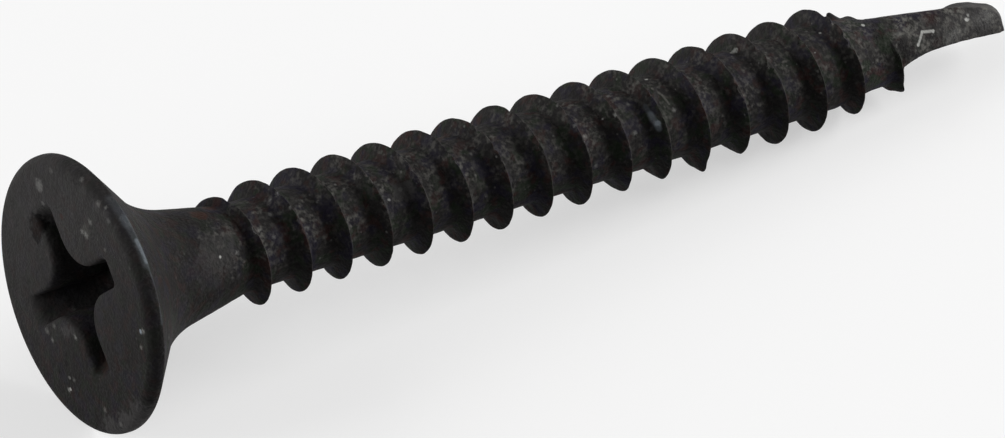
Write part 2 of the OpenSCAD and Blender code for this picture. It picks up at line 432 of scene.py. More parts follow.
def ridge_offsets(thread):
    """Heights of the rows of one turn, from its crest: closer together on the ridge."""
    half = thread.crest_w / 2
    foot = half + thread.tip_flank_w
    head_foot = half + thread.head_flank_w
    crest = spaced(-half, half, CREST_STEP)
    tip_side = spaced(half, foot + FOOT_GAP, FLANK_STEP)[1:]
    root_end = thread.pitch - head_foot - FOOT_GAP
    root = spaced(foot + FOOT_GAP, root_end, ROOT_STEP)[1:]
    head_side = spaced(root_end, thread.pitch - half, FLANK_STEP)[1:-1]
    return crest + tip_side + root + head_side


def thread_rows(thread, thread_end):
    """Heights at the first column of the rows that follow the thread, with one turn to spare."""
    first = math.floor(THREAD_FROM / thread.pitch - thread.phase) - 1
    last = math.ceil(thread_end / thread.pitch - thread.phase)
    return [
        thread.pitch * (turn + thread.phase) + offset
        for turn in range(first, last + 1)
        for offset in ridge_offsets(thread)
    ]


def point_rows(point):
    """Heights of the rows of the drill point, closer together towards the tip."""
    start = point.screw_l - point.hollow_l + STEP_WALL
    shoulder = point.screw_l - TIP_STRETCH
    return spaced(start, shoulder, POINT_STEP) + spaced(shoulder, point.screw_l, TIP_STEP)[1:]


def profile_mesh(settings):
    """One point for each row: its radius, its height, and whether it follows the thread or a rule."""
    thread_end = settings.point.screw_l - settings.point.hollow_l
    rows = [(r, z, 0.0, 0.0) for r, z in head_rows(settings.head)]
    rows += [(0.0, z, 1.0, 1.0) for z in thread_rows(settings.thread, thread_end)]
    rows += [(0.0, z, 0.0, 1.0) for z in point_rows(settings.point)]
    mesh = bpy.data.meshes.new("screw_rows")
    mesh.from_pydata([(r, 0.0, z) for r, z, _, _ in rows], [], [])
    for name, place in ((SHEARED, 2), (RULED, 3)):
        attribute = mesh.attributes.new(name, "FLOAT", "POINT")
        attribute.data.foreach_set("value", [row[place] for row in rows])
    return mesh


# Sizes that only serve to work out others, so that the node tree doesn't take them.
WORKED_FROM = ("thread_d", "core_d", "start", "unthreaded_l", "stub_l", "drill_d", "drill_l")
CREST_SOFTNESS = 0.19
FOOT_SOFTNESS = 0.12
WORN_SPREAD = 0.15
ROUGH_SPREAD = 0.08
FLUTE_END = 0.4 * MM
POINT_SOFTNESS = 0.06 * MM
HEEL_CUTS = (0, 12, 38, 55, 72)
SMALL = 0.001


def body_rule(z, size):
    """Radius of the body under the thread: tapered neck, straight core, taper to the drill."""
    neck = most(size["Neck end"] - z, 0.0) * maths("TANGENT", size["Neck taper"])
    drill = clamped((z - size["Taper start"]) / (size["Drill start"] - size["Taper start"]))
    return size["Core radius"] + neck + (size["Drill radius"] - size["Core radius"]) * drill


def ridge_rule(z, around, size):
    """Height of the ridge as a share of its full height, and whether a point lies in front of it."""
    place = z / size["Pitch"] - size["Phase"] - around
    late = most(place + around - size["Run-out"], 0.0) * size["Run-out lead"]
    whole = maths("ROUND", place - late / (1.0 + size["Run-out lead"]))
    turn = whole + around
    lead = most(turn - size["Run-out"], 0.0) * size["Run-out lead"]
    off = (place - whole - lead) * size["Pitch"]
    full = smooth_step(
        least((turn - size["First turn"]) / size["Rise"], (size["Low turn"] - turn) / size["Fall"])
    )
    stub = size["Stub height"] * least(
        (turn - size["Low turn"]) / size["Stub rise"],
        (size["Last turn"] - turn) / size["Stub fall"],
    )
    height = most(most(full, stub), 0.0)
    before = maths("LESS_THAN", off, 0.0)
    widening = clamped((turn - size["Low turn"]) / size["Stub rise"])
    head_flank = size["Head flank"] + (size["Stub flank"] - size["Head flank"]) * widening
    width = size["Tip flank"] + (head_flank - size["Tip flank"]) * before
    brow = size["Crest width"] / 2.0 / size["Tip flank"]
    flank = height + brow - maths("ABSOLUTE", off) / width
    crest = maths("SMOOTH_MIN", flank, height, CREST_SOFTNESS)
    ridge = maths("SMOOTH_MAX", crest, 0.0, FOOT_SOFTNESS) * smooth_step(height * 8.0)
    return ridge, maths("LESS_THAN", off, 0.02 * MM) * smooth_step((off / size["Pitch"] + 0.5) * 4.5)


def flute_rule(z, sine, size):
    """Largest radius that the two flutes leave, in a direction with this sine from the web."""
    full_z = size["Screw length"] - size["Full hollow flute"]
    rest = most(full_z - z, 0.0)
    radius = size["Hollow radius"]
    arc_y = radius - maths("SQRT", most(radius * radius - rest * rest, 0.0))
    before = maths("LESS_THAN", z, size["Screw length"] - size["Hollow flute"] + STEP_WALL / 2)
    droop = clamped((z - size["Screw length"]) / size["Droop length"] + 1.0) * size["Droop"]
    hollow_y = size["Web"] / 2.0 + arc_y + droop + before
    slope = most(size["Screw length"] - size["Full sloping flute"] - z, 0.0) * maths("TANGENT", size["Slope"])
    fade = smooth_step((size["Screw length"] - size["Sloping flute"] - z) / FLUTE_END + 0.5)
    slope_y = size["Web"] / 2.0 + slope + fade * MM
    hollow = hollow_y / most(sine, SMALL)
    sloping = slope_y / most(-sine, SMALL)
    return maths("SMOOTH_MIN", hollow, sloping, size["Softness"])


def point_rule(z, sine, cosine, size):
    """Largest radius that the two cutting faces and their rounded heels leave."""
    lean = math.pi / 2 - size["Point angle"] / 2.0
    lean_sine = maths("SINE", lean)
    lean_cosine = maths("COSINE", lean)
    heel = size["Heel radius"]
    heel_y = heel - size["Web"] / 2.0 + size["Heel setback"]
    drop = heel - maths("SQRT", heel * heel - heel_y * heel_y)
    under = size["Screw length"] + drop / lean_cosine - z
    at_tip = (heel_y / heel, (heel - drop) / heel)
    others = [(math.sin(math.radians(a)), math.cos(math.radians(a))) for a in HEEL_CUTS]
    limit = None
    for side in (1.0, -1.0):
        for s, c in (at_tip, *others):
            room = heel * (1 - c) - s * heel_y + c * under * lean_cosine
            slant = side * (c * lean_sine * cosine - s * sine)
            reach = most(room, 0.0) / most(slant, SMALL)
            limit = reach if limit is None else maths("SMOOTH_MIN", limit, reach, POINT_SOFTNESS)
    return limit


def screw_sizes(settings):
    """The sizes that the node tree takes, in metres, turns and radians, by the name of its input."""
    head, thread, point = settings.head, settings.thread, settings.point
    sizes = {
        group.bl_rna.properties[name].name: getattr(group, name)
        for group in (thread, point)
        for name in type(group).__annotations__
        if name not in WORKED_FROM
    }
    for name in ("Tall turn", "Rough turn", "Worn turn"):
        sizes[name] /= TURN
    corner = neck_corner(head)
    core_r = thread.core_d / 2
    low_turn = (point.screw_l - thread.unthreaded_l) / thread.pitch - thread.phase + thread.fall
    drill_start = point.screw_l - point.drill_l
    worked_out = {
        "Core radius": core_r,
        "Neck end": corner[1] + (corner[0] - core_r) / math.tan(head.neck_taper),
        "Neck taper": head.neck_taper,
        "Drill radius": point.drill_d / 2,
        "Drill start": drill_start,
        "Taper start": drill_start - thread.pitch,
        "Thread height": (thread.thread_d - thread.core_d) / 2,
        "First turn": thread.start / thread.pitch - thread.phase,
        "Low turn": low_turn,
        "Last turn": low_turn + thread.stub_l,
        "Thread from": THREAD_FROM,
        "Merge distance": settings.mesh.merge,
    }
    return {**sizes, **worked_out}


def screw_tree(sizes):
    """Node tree that turns the points of the rows into the body of the screw."""
    tree = bpy.data.node_groups.new("Screw body", "GeometryNodeTree")
    faces = tree.interface
    faces.new_socket("Geometry", in_out="INPUT", socket_type="NodeSocketGeometry")
    faces.new_socket("Columns", in_out="INPUT", socket_type="NodeSocketInt")
    faces.new_socket("Material", in_out="INPUT", socket_type="NodeSocketMaterial")
    for name in sizes:
        faces.new_socket(name, in_out="INPUT", socket_type="NodeSocketFloat")
    faces.new_socket("Geometry", in_out="OUTPUT", socket_type="NodeSocketGeometry")
    given = node_in(tree, "NodeGroupInput").outputs
    size = {name: Num(tree, given[name]) for name in sizes}

    count = node_in(tree, "GeometryNodeAttributeDomainSize", {"Geometry": given["Geometry"]})
    rows = Num(tree, count.outputs["Point Count"])
    columns = Num(tree, given["Columns"])
    grid = node_in(
        tree, "GeometryNodeMeshGrid",
        {"Size X": 1.0, "Size Y": 1.0, "Vertices X": columns + 1.0, "Vertices Y": rows},
    )
    position = node_in(tree, "GeometryNodeInputPosition")
    split = node_in(tree, "ShaderNodeSeparateXYZ", {0: position.outputs[0]})
    around = Num(tree, split.outputs["X"]) + 0.5
    row = maths("ROUND", (Num(tree, split.outputs["Y"]) + 0.5) * (rows - 1.0))

    def of_row(data_type, value):
        """What a point of the profile holds, for the row of this point of the grid."""
        sample = node_in(
            tree, "GeometryNodeSampleIndex", {"Geometry": given["Geometry"], "Index": row},
            data_type=data_type, domain="POINT",
        )
        plug(tree, value, sample.inputs["Value"])
        return sample.outputs["Value"]

    def kept_value(name):
        named = node_in(tree, "GeometryNodeInputNamedAttribute", {"Name": name}, data_type="FLOAT")
        return named.outputs["Attribute"]

    def flag(name):
        return Num(tree, of_row("FLOAT", kept_value(name)))

    def around_axis(radius):
        """Place at this distance from the axis, at the turn and height of this point."""
        place = node_in(
            tree, "ShaderNodeCombineXYZ",
            {"X": radius * maths("COSINE", turned), "Y": radius * maths("SINE", turned), "Z": z},
        )
        return place.outputs["Vector"]

    profile = node_in(tree, "ShaderNodeSeparateXYZ", {0: of_row("FLOAT_VECTOR", position.outputs[0])})
    row_r = Num(tree, profile.outputs["X"])
    row_z = Num(tree, profile.outputs["Z"])
    thread_end = size["Screw length"] - size["Hollow flute"]
    helix_z = least(most(row_z + around * size["Pitch"], size["Thread from"]), thread_end)
    z = row_z + flag(SHEARED) * (helix_z - row_z)

    turned = around * TURN
    sine = maths("SINE", turned - size["Web turn"])
    cosine = maths("COSINE", turned - size["Web turn"])
    ridge, before_ridge = ridge_rule(z, around, size)
    core = body_rule(z, size)

    def noise_at(point, width, detail):
        """Noise between about -1 and 1 at a point of the surface."""
        return (noise(tree, point, 1.0 / width, detail) - 0.5) * 2.5

    on_core = around_axis(core)
    uneven = clamped(0.5 + 0.5 * noise_at(on_core, size["Lump width"] * 4.0, 1.0))
    worn_side = 1.0 - maths("ABSOLUTE", around - size["Worn turn"]) / WORN_SPREAD
    worn_part = least(z - size["Worn from"], size["Worn to"] - z) / MM
    worn = smooth_step(worn_side) * smooth_step(worn_part) * size["Worn side"]
    low_side = most(maths("COSINE", (around - size["Tall turn"]) * TURN), 0.0) * size["Tall side"]
    rough_side = smooth_step(1.5 - maths("ABSOLUTE", around - size["Rough turn"]) / ROUGH_SPREAD)
    dents = smooth_step(noise_at(on_core, size["Lump width"] * 0.9, 2.0) * 2.5)
    share = 1.0 + low_side - size["Wobble"] * uneven - worn - size["Rough side"] * rough_side * dents
    radius = core + size["Thread height"] * ridge * share
    radius = maths("SMOOTH_MIN", radius, flute_rule(z, sine, size), size["Softness"])
    radius = maths("SMOOTH_MIN", radius, point_rule(z, sine, cosine, size), POINT_SOFTNESS)
    ruled = flag(RULED)
    radius = row_r + ruled * (most(radius, 0.0) - row_r)

    kept = grid.outputs["Mesh"]
    # The crest and before_ridge values go to the finish, which paints shade beside each ridge and rubs the
    # crests from them.
    shared = ((CREST, ridge * ruled), (BEFORE, before_ridge * ruled), (RULED, ruled))
    for name, value in shared:
        store = node_in(
            tree, "GeometryNodeStoreNamedAttribute",
            {"Geometry": kept, "Name": name, "Value": value}, data_type="FLOAT", domain="POINT",
        )
        kept = store.outputs["Geometry"]
    moved = node_in(
        tree, "GeometryNodeSetPosition", {"Geometry": kept, "Position": around_axis(radius)}
    )
    closed = node_in(
        tree, "GeometryNodeMergeByDistance",
        {"Geometry": moved.outputs["Geometry"], "Distance": size["Merge distance"]},
    )
    lumps = noise_at(position.outputs[0], size["Lump width"], 2.0) * size["Lumps"]
    normal = node_in(tree, "GeometryNodeInputNormal").outputs[0]
    out = scaled(tree, normal, lumps * Num(tree, kept_value(RULED)))
    rough = node_in(
        tree, "GeometryNodeSetPosition", {"Geometry": closed.outputs["Geometry"], "Offset": out}
    )
    real = node_in(tree, "GeometryNodeRealizeInstances", {"Geometry": rough.outputs["Geometry"]})
    painted = node_in(
        tree, "GeometryNodeSetMaterial",
        {"Geometry": real.outputs["Geometry"], "Material": given["Material"]},
    )
    node_in(tree, "NodeGroupOutput", {"Geometry": painted.outputs["Geometry"]})
    return tree


def screw_body(settings, material):
    """Mesh of the body, in the frame of its axis, with an open ring where the face has its recess."""
    rows = profile_mesh(settings)
    carrier = bpy.data.objects.new("screw_rows", rows)
    bpy.context.scene.collection.objects.link(carrier)
    sizes = screw_sizes(settings)
    modifier = carrier.modifiers.new("Screw body", "NODES")
    modifier.node_group = screw_tree(sizes)
    values = dict(sizes, Columns=settings.mesh.columns, Material=material)
    for item in modifier.node_group.interface.items_tree:
        if item.in_out == "INPUT" and item.name in values:
            modifier[item.identifier] = values[item.name]
    graph = bpy.context.evaluated_depsgraph_get()
    made = bpy.data.meshes.new_from_object(carrier.evaluated_get(graph))
    carrier.modifiers.remove(modifier)
    bpy.data.objects.remove(carrier)
    bpy.data.meshes.remove(rows)
    return made


def cross_reach(angles, half_w, reach, corner_r, end_r):
    """Distance from the middle of the recess to its outline, in each direction."""
    folded = np.abs((angles + math.pi / 4) % (math.pi / 2) - math.pi / 4)
    slope = np.tan(folded)
    across = half_w + corner_r
    lean = across * (np.cos(folded) + np.sin(folded))
    inner = lean - np.sqrt(np.maximum(lean ** 2 - 2 * across ** 2 + corner_r ** 2, 0.0))
    side = half_w / np.maximum(np.sin(folded), 1e-6)
    outline = np.where(slope > half_w / across, inner, side)
    end_x, end_y = reach - end_r, half_w - end_r
    lean = end_x * np.cos(folded) + end_y * np.sin(folded)
    outer = lean + np.sqrt(np.maximum(lean ** 2 - end_x ** 2 - end_y ** 2 + end_r ** 2, 0.0))
    outline = np.where(slope < half_w / end_x, outer, outline)
    return np.where(slope < end_y / reach, reach / np.cos(folded), outline)


def recess_rings(recess, count=RECESS_POINTS):
    """Rings of points down the wall of the recess, from its mouth to its floor."""
    dense = np.linspace(0, TURN, 8001)
    reach = cross_reach(dense, recess.wing_w / 2, recess.width / 2, recess.corner_r, recess.end_r)
    steps = np.hypot(np.diff(reach), reach[:-1] * np.diff(dense))
    run = np.concatenate([[0.0], np.cumsum(steps)])
    angles = np.interp(np.arange(count) / count * run[-1], run, dense)
    end_slope = (recess.width - recess.foot_w) / 2 / recess.wing_depth
    mouth = recess.mouth_r
    depths = [mouth * (1 - math.cos(a)) for a in np.linspace(0, math.pi / 2, 5)]
    depths += spaced(mouth, recess.wing_depth, RECESS_STEP)[1:]
    rings = []
    for depth in depths:
        inside = max(mouth - depth, 0.0)
        flare = mouth - math.sqrt(mouth ** 2 - inside ** 2)
        half_w = recess.wing_w / 2 - depth * math.tan(recess.side_slope) + flare
        ends = recess.width / 2 - depth * end_slope + flare
        corner_r = recess.corner_r - flare
        rings.append((cross_reach(angles, half_w, ends, corner_r, recess.end_r), depth))
    foot = rings[-1][0]
    for part in FLOOR_RINGS:
        fall = (1 - part) * (recess.depth - recess.wing_depth)
        rings.append((foot * part, recess.wing_depth + fall))
    turned = angles + recess.turn
    return [
        np.stack(
            [
                recess.shift_y + r * np.cos(turned),
                recess.shift_z + r * np.sin(turned),
                np.full(count, depth),
            ],
            axis=1,
        )
        for r, depth in rings
    ]


def add_recess(bm, recess):
    """Fills the open ring of the face with the rest of the face and the recess."""
    rim_edges = [edge for edge in bm.edges if edge.is_boundary]
    if any(vert.co.z > STEP_WALL for edge in rim_edges for vert in edge.verts):
        raise ValueError("The body is open somewhere else than at its face")
    rings = [[bm.verts.new(point) for point in ring] for ring in recess_rings(recess)]
    count = len(rings[0])
    mouth_edges = [bm.edges.new((rings[0][i], rings[0][(i + 1) % count])) for i in range(count)]
    for above, below in zip(rings, rings[1:]):
        for i in range(count):
            j = (i + 1) % count
            bm.faces.new((above[i], above[j], below[j], below[i]))
    floor = bm.verts.new((recess.shift_y, recess.shift_z, recess.depth))
    for i in range(count):
        bm.faces.new((rings[-1][i], rings[-1][(i + 1) % count], floor))
    bmesh.ops.triangle_fill(
        bm, use_beauty=True, use_dissolve=False, edges=rim_edges + mouth_edges, normal=(0, 0, -1)
    )


def rough_up(bm, marks):
    """Moves the surface around each mark: its height, turn and radius, its size, and the move."""
    for height, degrees, radius, size, out, along in marks:
        a = math.radians(degrees)
        outwards = Vector((math.cos(a), math.sin(a), 0.0))
        centre = outwards * (radius * MM) + Vector((0.0, 0.0, height * MM))
        move = outwards * (out * MM) + Vector((0.0, 0.0, along * MM))
        for v in bm.verts:
            off = (v.co - centre).length / (size * MM)
            if off < 1.0:
                v.co += move * (1 - off * off) ** 2


def tilt_head(bm, head):
    """Shifts and tilts the head a little on its neck, as the photo shows it."""
    rim = head.edge_r + head.rim_land
    for v in bm.verts:
        x, y, z = v.co
        hold = min(max((THREAD_FROM - z) / (THREAD_FROM - rim), 0.0), 1.0)
        hold = hold * hold * (3 - 2 * hold)
        v.co += Vector((0.0, head.shift, x * head.tilt_x + y * head.tilt_y)) * hold


# Height, degrees around and distance from the axis, size, and move outwards and along the axis.
MARKS = (
    (26.74, 52, 1.3, 0.28, 0.36, -0.1),
    (27.3, 52, 1.15, 0.5, 0.07, 0.0),
    (22.3, 250, 1.65, 0.9, -0.09, 0.05),
    (18.2, 250, 1.65, 0.9, -0.05, 0.05),
    (18.2, 222, 1.75, 0.5, 0.0, 0.06),
    (19.6, 250, 1.65, 0.9, -0.07, 0.05),
    (20.9, 228, 1.78, 0.6, 0.15, 0.04),
    (28.06, 220, 1.36, 0.32, 0.1, 0.09),
    (31.4, 0, 0.88, 0.55, 0.15, -0.08),
    (31.75, 125, 0.8, 0.4, 0.0, 0.05),
    (27.9, 60, 1.1, 1.2, -0.025, 0.0),
    (8.5, 230, 0.0, 4.5, -0.015, 0.0),
    (22.0, 230, 0.0, 7.0, 0.025, 0.0),
)


def make_screw(settings, material):
    """The screw as one closed mesh, in place."""
    made = screw_body(settings, material)
    bm = bmesh.new()
    bm.from_mesh(made)
    add_recess(bm, settings.recess)
    tilt_head(bm, settings.head)
    rough_up(bm, MARKS)
    bmesh.ops.recalc_face_normals(bm, faces=bm.faces)
    bm.to_mesh(made)
    bm.free()
    lie = Matrix.Rotation(math.atan2(-ALONG.z, ALONG.x), 4, "Y")
    lay_down = Matrix(((0, 0, 1, 0), (1, 0, 0, 0), (0, 1, 0, 0), (0, 0, 0, 1)))
    made.transform(Matrix.Translation(FACE_CENTRE) @ lie @ lay_down)
    made.materials.clear()
    made.materials.append(material)
    made.polygons.foreach_set("material_index", [0] * len(made.polygons))
    made.polygons.foreach_set("use_smooth", [True] * len(made.polygons))
    made.set_sharp_from_angle(angle=math.radians(40))
    made.name = PIECE
    obj = bpy.data.objects.new(PIECE, made)
    bpy.context.scene.collection.objects.link(obj)
    return obj


def effect(name, **inputs):
    """An empty shader node group: its tree, its inputs by name, and the socket to fill."""
    tree = bpy.data.node_groups.new(name, "ShaderNodeTree")
    for label, default in dict(Place=(0, 0, 0), **inputs).items():
        kind = "Vector" if isinstance(default, tuple) else "Float"
        socket = tree.interface.new_socket(label, in_out="INPUT", socket_type="NodeSocket" + kind)
        socket.default_value = default
    tree.interface.new_socket("Mask", in_out="OUTPUT", socket_type="NodeSocketFloat")
    outputs = node_in(tree, "NodeGroupInput").outputs
    given = {
        label: outputs[label] if isinstance(inputs.get(label, ()), tuple) else Num(tree, outputs[label])
        for label in ("Place", *inputs)
    }
    result = node_in(tree, "NodeGroupOutput").inputs["Mask"]
    return tree, given, result


def mottle_effect():
    """Patches of noise, from none at the low level to full at the high one."""
    tree, given, result = effect("Mottle", Size=1.0, Detail=3.0, Low=0.4, High=0.6)
    patches = noise(tree, given["Place"], 1.0 / given["Size"], given["Detail"])
    spread = node_in(
        tree, "ShaderNodeMapRange",
        {"Value": patches, "From Min": given["Low"], "From Max": given["High"]},
        interpolation_type="SMOOTHSTEP",
    )
    plug(tree, spread.outputs["Result"], result)
    return tree


def speck_effect():
    """Small round specks in some cells of a random pattern, not all equally strong."""
    tree, given, result = effect("Specks", Spacing=0.5, Size=0.1, Share=0.2)
    cells = node_in(
        tree, "ShaderNodeTexVoronoi", {"Vector": given["Place"], "Scale": 1.0 / given["Spacing"]}
    )
    chance = node_in(tree, "ShaderNodeSeparateColor", {0: cells.outputs["Color"]})
    picking, width, strength = [Num(tree, socket) for socket in list(chance.outputs)[:3]]
    picked = maths("LESS_THAN", picking, given["Share"])
    across = given["Size"] * (0.5 + width)
    near = 1.0 - Num(tree, cells.outputs["Distance"]) / across
    plug(tree, smooth_step(near * 1.6) * picked * (0.3 + 0.7 * strength), result)
    return tree


def spot_effect():
    """A patch with a ragged edge around one point."""
    tree, given, result = effect("Spot", Centre=(0, 0, 0), Radius=1.0, Grain=0.15)
    near = 1.0 - vector_maths(tree, "DISTANCE", given["Place"], given["Centre"]) / given["Radius"]
    ragged = near + (noise(tree, given["Place"], 1.0 / given["Grain"], 2.0) - 0.5) * 1.6
    plug(tree, smooth_step(ragged * 1.6) * smooth_step(near * 4.0), result)
    return tree


def dot_effect():
    """A small round speck."""
    tree, given, result = effect("Dot", Centre=(0, 0, 0), Radius=0.1)
    near = 1.0 - vector_maths(tree, "DISTANCE", given["Place"], given["Centre"]) / given["Radius"]
    ragged = near + (noise(tree, given["Place"], 18.0, 1.0) - 0.5) * 1.2
    plug(tree, smooth_step(ragged), result)
    return tree


def scratch_effect():
    """A thin straight mark between two points."""
    tree, given, result = effect("Scratch", From=(0, 0, 0), To=(1, 0, 0), Width=0.05)
    run = vector_maths(tree, "SUBTRACT", given["To"], given["From"])
    out = vector_maths(tree, "SUBTRACT", given["Place"], given["From"])
    along = vector_maths(tree, "DOT_PRODUCT", out, run)
    whole = vector_maths(tree, "DOT_PRODUCT", run, run)
    foot = scaled(tree, run, clamped(along / whole))
    off = vector_maths(tree, "DISTANCE", out, foot)
    plug(tree, smooth_step((1.0 - off / given["Width"]) * 1.5), result)
    return tree


def mixed(tree, mask, below, above):
    """Colour that goes from the one below to the one above with the mask."""
    node = node_in(tree, "ShaderNodeMix", data_type="RGBA")
    plug(tree, mask, node.inputs["Factor"])
    for value, slot in ((below, node.inputs[6]), (above, node.inputs[7])):
        if not isinstance(value, bpy.types.NodeSocket):
            value = (*value, 1.0)
        plug(tree, value, slot)
    return node.outputs[2]


def on_screw(height, degrees, radius):
    """Point of the finished object, in millimetres, from its place along and around the axis."""
    a = math.radians(degrees)
    sideways = Vector((0, 1, 0))
    upwards = ALONG.cross(sideways)
    out = (sideways * math.cos(a) + upwards * math.sin(a)) * radius
    return FACE_CENTRE / MM + ALONG * height + out


# Finish, height, degrees around and distance from the axis, size and strength.
SPOTS = (
    ("rust", 4.12, 88, 1.57, 0.34, 0.6),
    ("rust", 4.75, 72, 1.5, 0.3, 0.6),
    ("rust", 0.5, 47, 2.3, 0.4, 0.5),
    ("rust", 0.4, 227, 2.0, 0.45, 0.25),
    ("rust", 6.2, 80, 1.4, 0.3, 0.5),
    ("rust", -0.04, 70, 2.45, 0.12, 0.5),
    # Dark patches on the face beside the wing that points at 45 degrees, which widen its dark outline:
    # painted shade of the recess.
    ("dark_coat_and_shade", -0.01, 29, 2.45, 0.5, 0.85),
    ("dark_coat_and_shade", -0.01, 36, 2.35, 0.4, 0.85),
    ("dark_coat_and_shade", 0.0, 23, 2.3, 0.35, 0.75),
    ("rust", -0.01, 28, 2.4, 0.4, 0.12),
    ("rust", 5.03, 70, 1.5, 0.25, 0.5),
    # Dark patches down inside the wing at 315 degrees: painted shade in the recess.
    ("dark_coat_and_shade", 0.35, 322, 2.3, 0.4, 0.35),
    ("dark_coat_and_shade", 0.6, 321, 2.05, 0.55, 0.6),
    ("dark_coat_and_shade", 1.15, 320, 1.6, 0.9, 0.85),
    ("pale_coat", 0.03, 284, 1.4, 0.3, 0.8),
    ("pale_coat", 0.03, 270, 1.15, 0.22, 0.7),
    ("dark_coat_and_shade", 0.06, 281.5, 2.92, 0.16, 0.5),
    ("dark_coat_and_shade", 0.05, 275, 2.4, 0.14, 0.5),
    ("dark_coat_and_shade", 0.05, 277, 2.12, 0.12, 0.4),
    ("dark_coat_and_shade", 0.06, 270, 2.9, 0.14, 0.45),
    ("dark_coat_and_shade", -0.07, 76, 4.05, 0.5, 0.25),
    ("dark_coat_and_shade", -0.07, 86, 4.05, 0.5, 0.25),
    ("dark_coat_and_shade", -0.07, 96, 4.05, 0.5, 0.25),
    ("pale_coat", -0.07, 93, 3.85, 0.22, 0.6),
    ("pale_coat", -0.07, 104, 3.8, 0.22, 0.6),
    ("pale_coat", -0.07, 110, 3.95, 0.16, 0.8),
    ("dusted", -0.05, 99, 2.6, 0.3, 0.25),
    ("dust", 0.06, 269.0, 3.11, 0.07, 0.7),
    # Dark patches in the groove at the foot of the first ridge: painted shade.
    ("dark_coat_and_shade", 5.14, 123, 1.35, 0.25, 0.4),
    ("dark_coat_and_shade", 5.12, 141, 1.34, 0.25, 0.45),
    ("dark_coat_and_shade", 5.1, 159, 1.34, 0.25, 0.45),
    ("dark_coat_and_shade", 28.14, 158, 1.11, 0.5, 0.6),
    ("red_tint", 29.4, 113, 1.11, 0.45, 0.3),
    ("dust", 29.24, 140, 1.11, 0.075, 1.0),
    ("dust", 28.64, 153.5, 1.11, 0.07, 1.0),
    ("dust", 30.56, 133, 1.11, 0.07, 0.5),
    ("dust", 30.35, 152.5, 1.11, 0.12, 0.1),
    # Pale patches on the neck: painted highlight, with a speck of dust.
    ("pale_coat", 4.05, 140, 1.6, 0.95, 0.45),
    ("pale_coat", 3.6, 155, 1.7, 0.8, 0.3),
    ("dust", 4.05, 144.4, 1.59, 0.075, 1.0),
    ("scuff_and_highlight", 19.12, 147, 1.5, 0.17, 0.55),
    ("dust", 22.77, 58.4, 1.36, 0.08, 0.8),
    ("dust", 22.85, 77, 1.32, 0.16, 0.7),
    ("dust", 19.74, 77.3, 1.26, 0.08, 0.9),
    ("dust", 17.51, 122.4, 1.37, 0.08, 1.0),
    ("dust", 25.65, 94.1, 1.33, 0.07, 0.8),
    ("dust", 30.48, 138.2, 1.11, 0.105, 1.0),
    ("dust", 27.19, 96.8, 1.14, 0.08, 0.8),
    ("pale_coat", -0.04, 51.7, 3.35, 0.34, 1.0),
    ("dust", -0.05, 51.7, 3.35, 0.25, 0.18),
    ("dust", 9.97, 139.3, 1.26, 0.08, 0.9),
    ("dust", 10.45, 131.5, 1.3, 0.09, 0.8),
    ("pale_coat", 10.5, 134, 1.3, 0.5, 0.9),
    ("scuff_and_highlight", -0.04, 164, 3.6, 0.1, 0.7),
    ("dust", -0.03, 172.4, 3.55, 0.07, 0.1),
    ("dust", 0.05, 270.5, 2.75, 0.08, 0.25),
    # Pale patches on the lower part of the rim: painted light.
    ("pale_coat", 0.2, 208, 4.08, 0.8, 0.8),
    ("pale_coat", 0.2, 220, 4.06, 0.8, 1.0),
    ("pale_coat", 0.1, 234, 3.95, 0.7, 0.8),
)
# Height, degrees around and distance from the axis, size and strength.
DOTS = (
    (0.03, 262, 1.25, 0.11, 0.5),
    (-0.03, 49.3, 2.82, 0.112, 0.26),
    (-0.06, 66.7, 3.78, 0.15, 0.17),
    (0.0, 89.9, 4.05, 0.12, 0.25),
    (-0.06, 101.6, 3.07, 0.15, 0.3),
    (-0.05, 95.5, 2.45, 0.125, 0.38),
    (-0.05, 100.3, 2.5, 0.15, 0.42),
    (-0.08, 104.0, 3.95, 0.15, 0.26),
    (0.02, 108.2, 4.05, 0.1, 0.35),
    (-0.08, 113.1, 3.9, 0.125, 0.21),
    (-0.06, 119.5, 2.94, 0.1, 0.21),
    (-0.03, 59.3, 1.93, 0.1, 0.26),
    (0.04, 301.8, 1.81, 0.125, 0.26),
    (0.05, 304.0, 2.32, 0.15, 0.26),
    (0.05, 295.9, 2.28, 0.112, 0.34),
    (0.06, 270.4, 3.19, 0.1, 0.77),
    (0.05, 265.6, 2.7, 0.1, 0.26),
    (0.04, 235.4, 3.28, 0.125, 0.26),
    (0.03, 224.8, 3.82, 0.125, 0.21),
    (-0.04, 163.1, 3.73, 0.125, 0.51),
    (-0.03, 171.9, 3.55, 0.1, 0.3),
    (0.99, 172.6, 3.41, 0.1, 0.3),
    (4.67, 145.9, 1.43, 0.1, 0.3),
    (6.57, 98.5, 1.69, 0.1, 0.45),
    (6.44, 94.3, 1.42, 0.09, 0.4),
    (6.23, 110.8, 1.3, 0.1, 0.35),
    (5.66, 127.0, 1.3, 0.1, 0.3),
    (6.04, 141.1, 1.3, 0.09, 0.35),
    (6.66, 118.5, 1.71, 0.09, 0.35),
    (7.18, 143.0, 1.3, 0.1, 0.3),
    (18.21, 89.7, 1.3, 0.09, 0.45),
    (17.75, 126.1, 1.71, 0.09, 0.6),
    (18.58, 112.2, 1.3, 0.09, 0.35),
    (18.44, 151.3, 1.3, 0.1, 0.4),
    (19.91, 138.1, 1.3, 0.09, 0.6),
    (17.02, 179.7, 1.3, 0.1, 0.4),
    (16.35, 124.4, 1.7, 0.09, 0.4),
    (16.79, 137.2, 1.3, 0.12, 0.4),
    (28.08, 128.5, 1.11, 0.16, 0.18),
    (30.03, 153.7, 1.11, 0.28, 0.2),
    (29.73, 160, 1.11, 0.3, 0.22),
    (30.81, 143.8, 1.12, 0.28, 0.15),
    (31.22, 143, 1.11, 0.4, 0.25),
    (29.11, 119.7, 1.11, 0.2, 0.12),
)
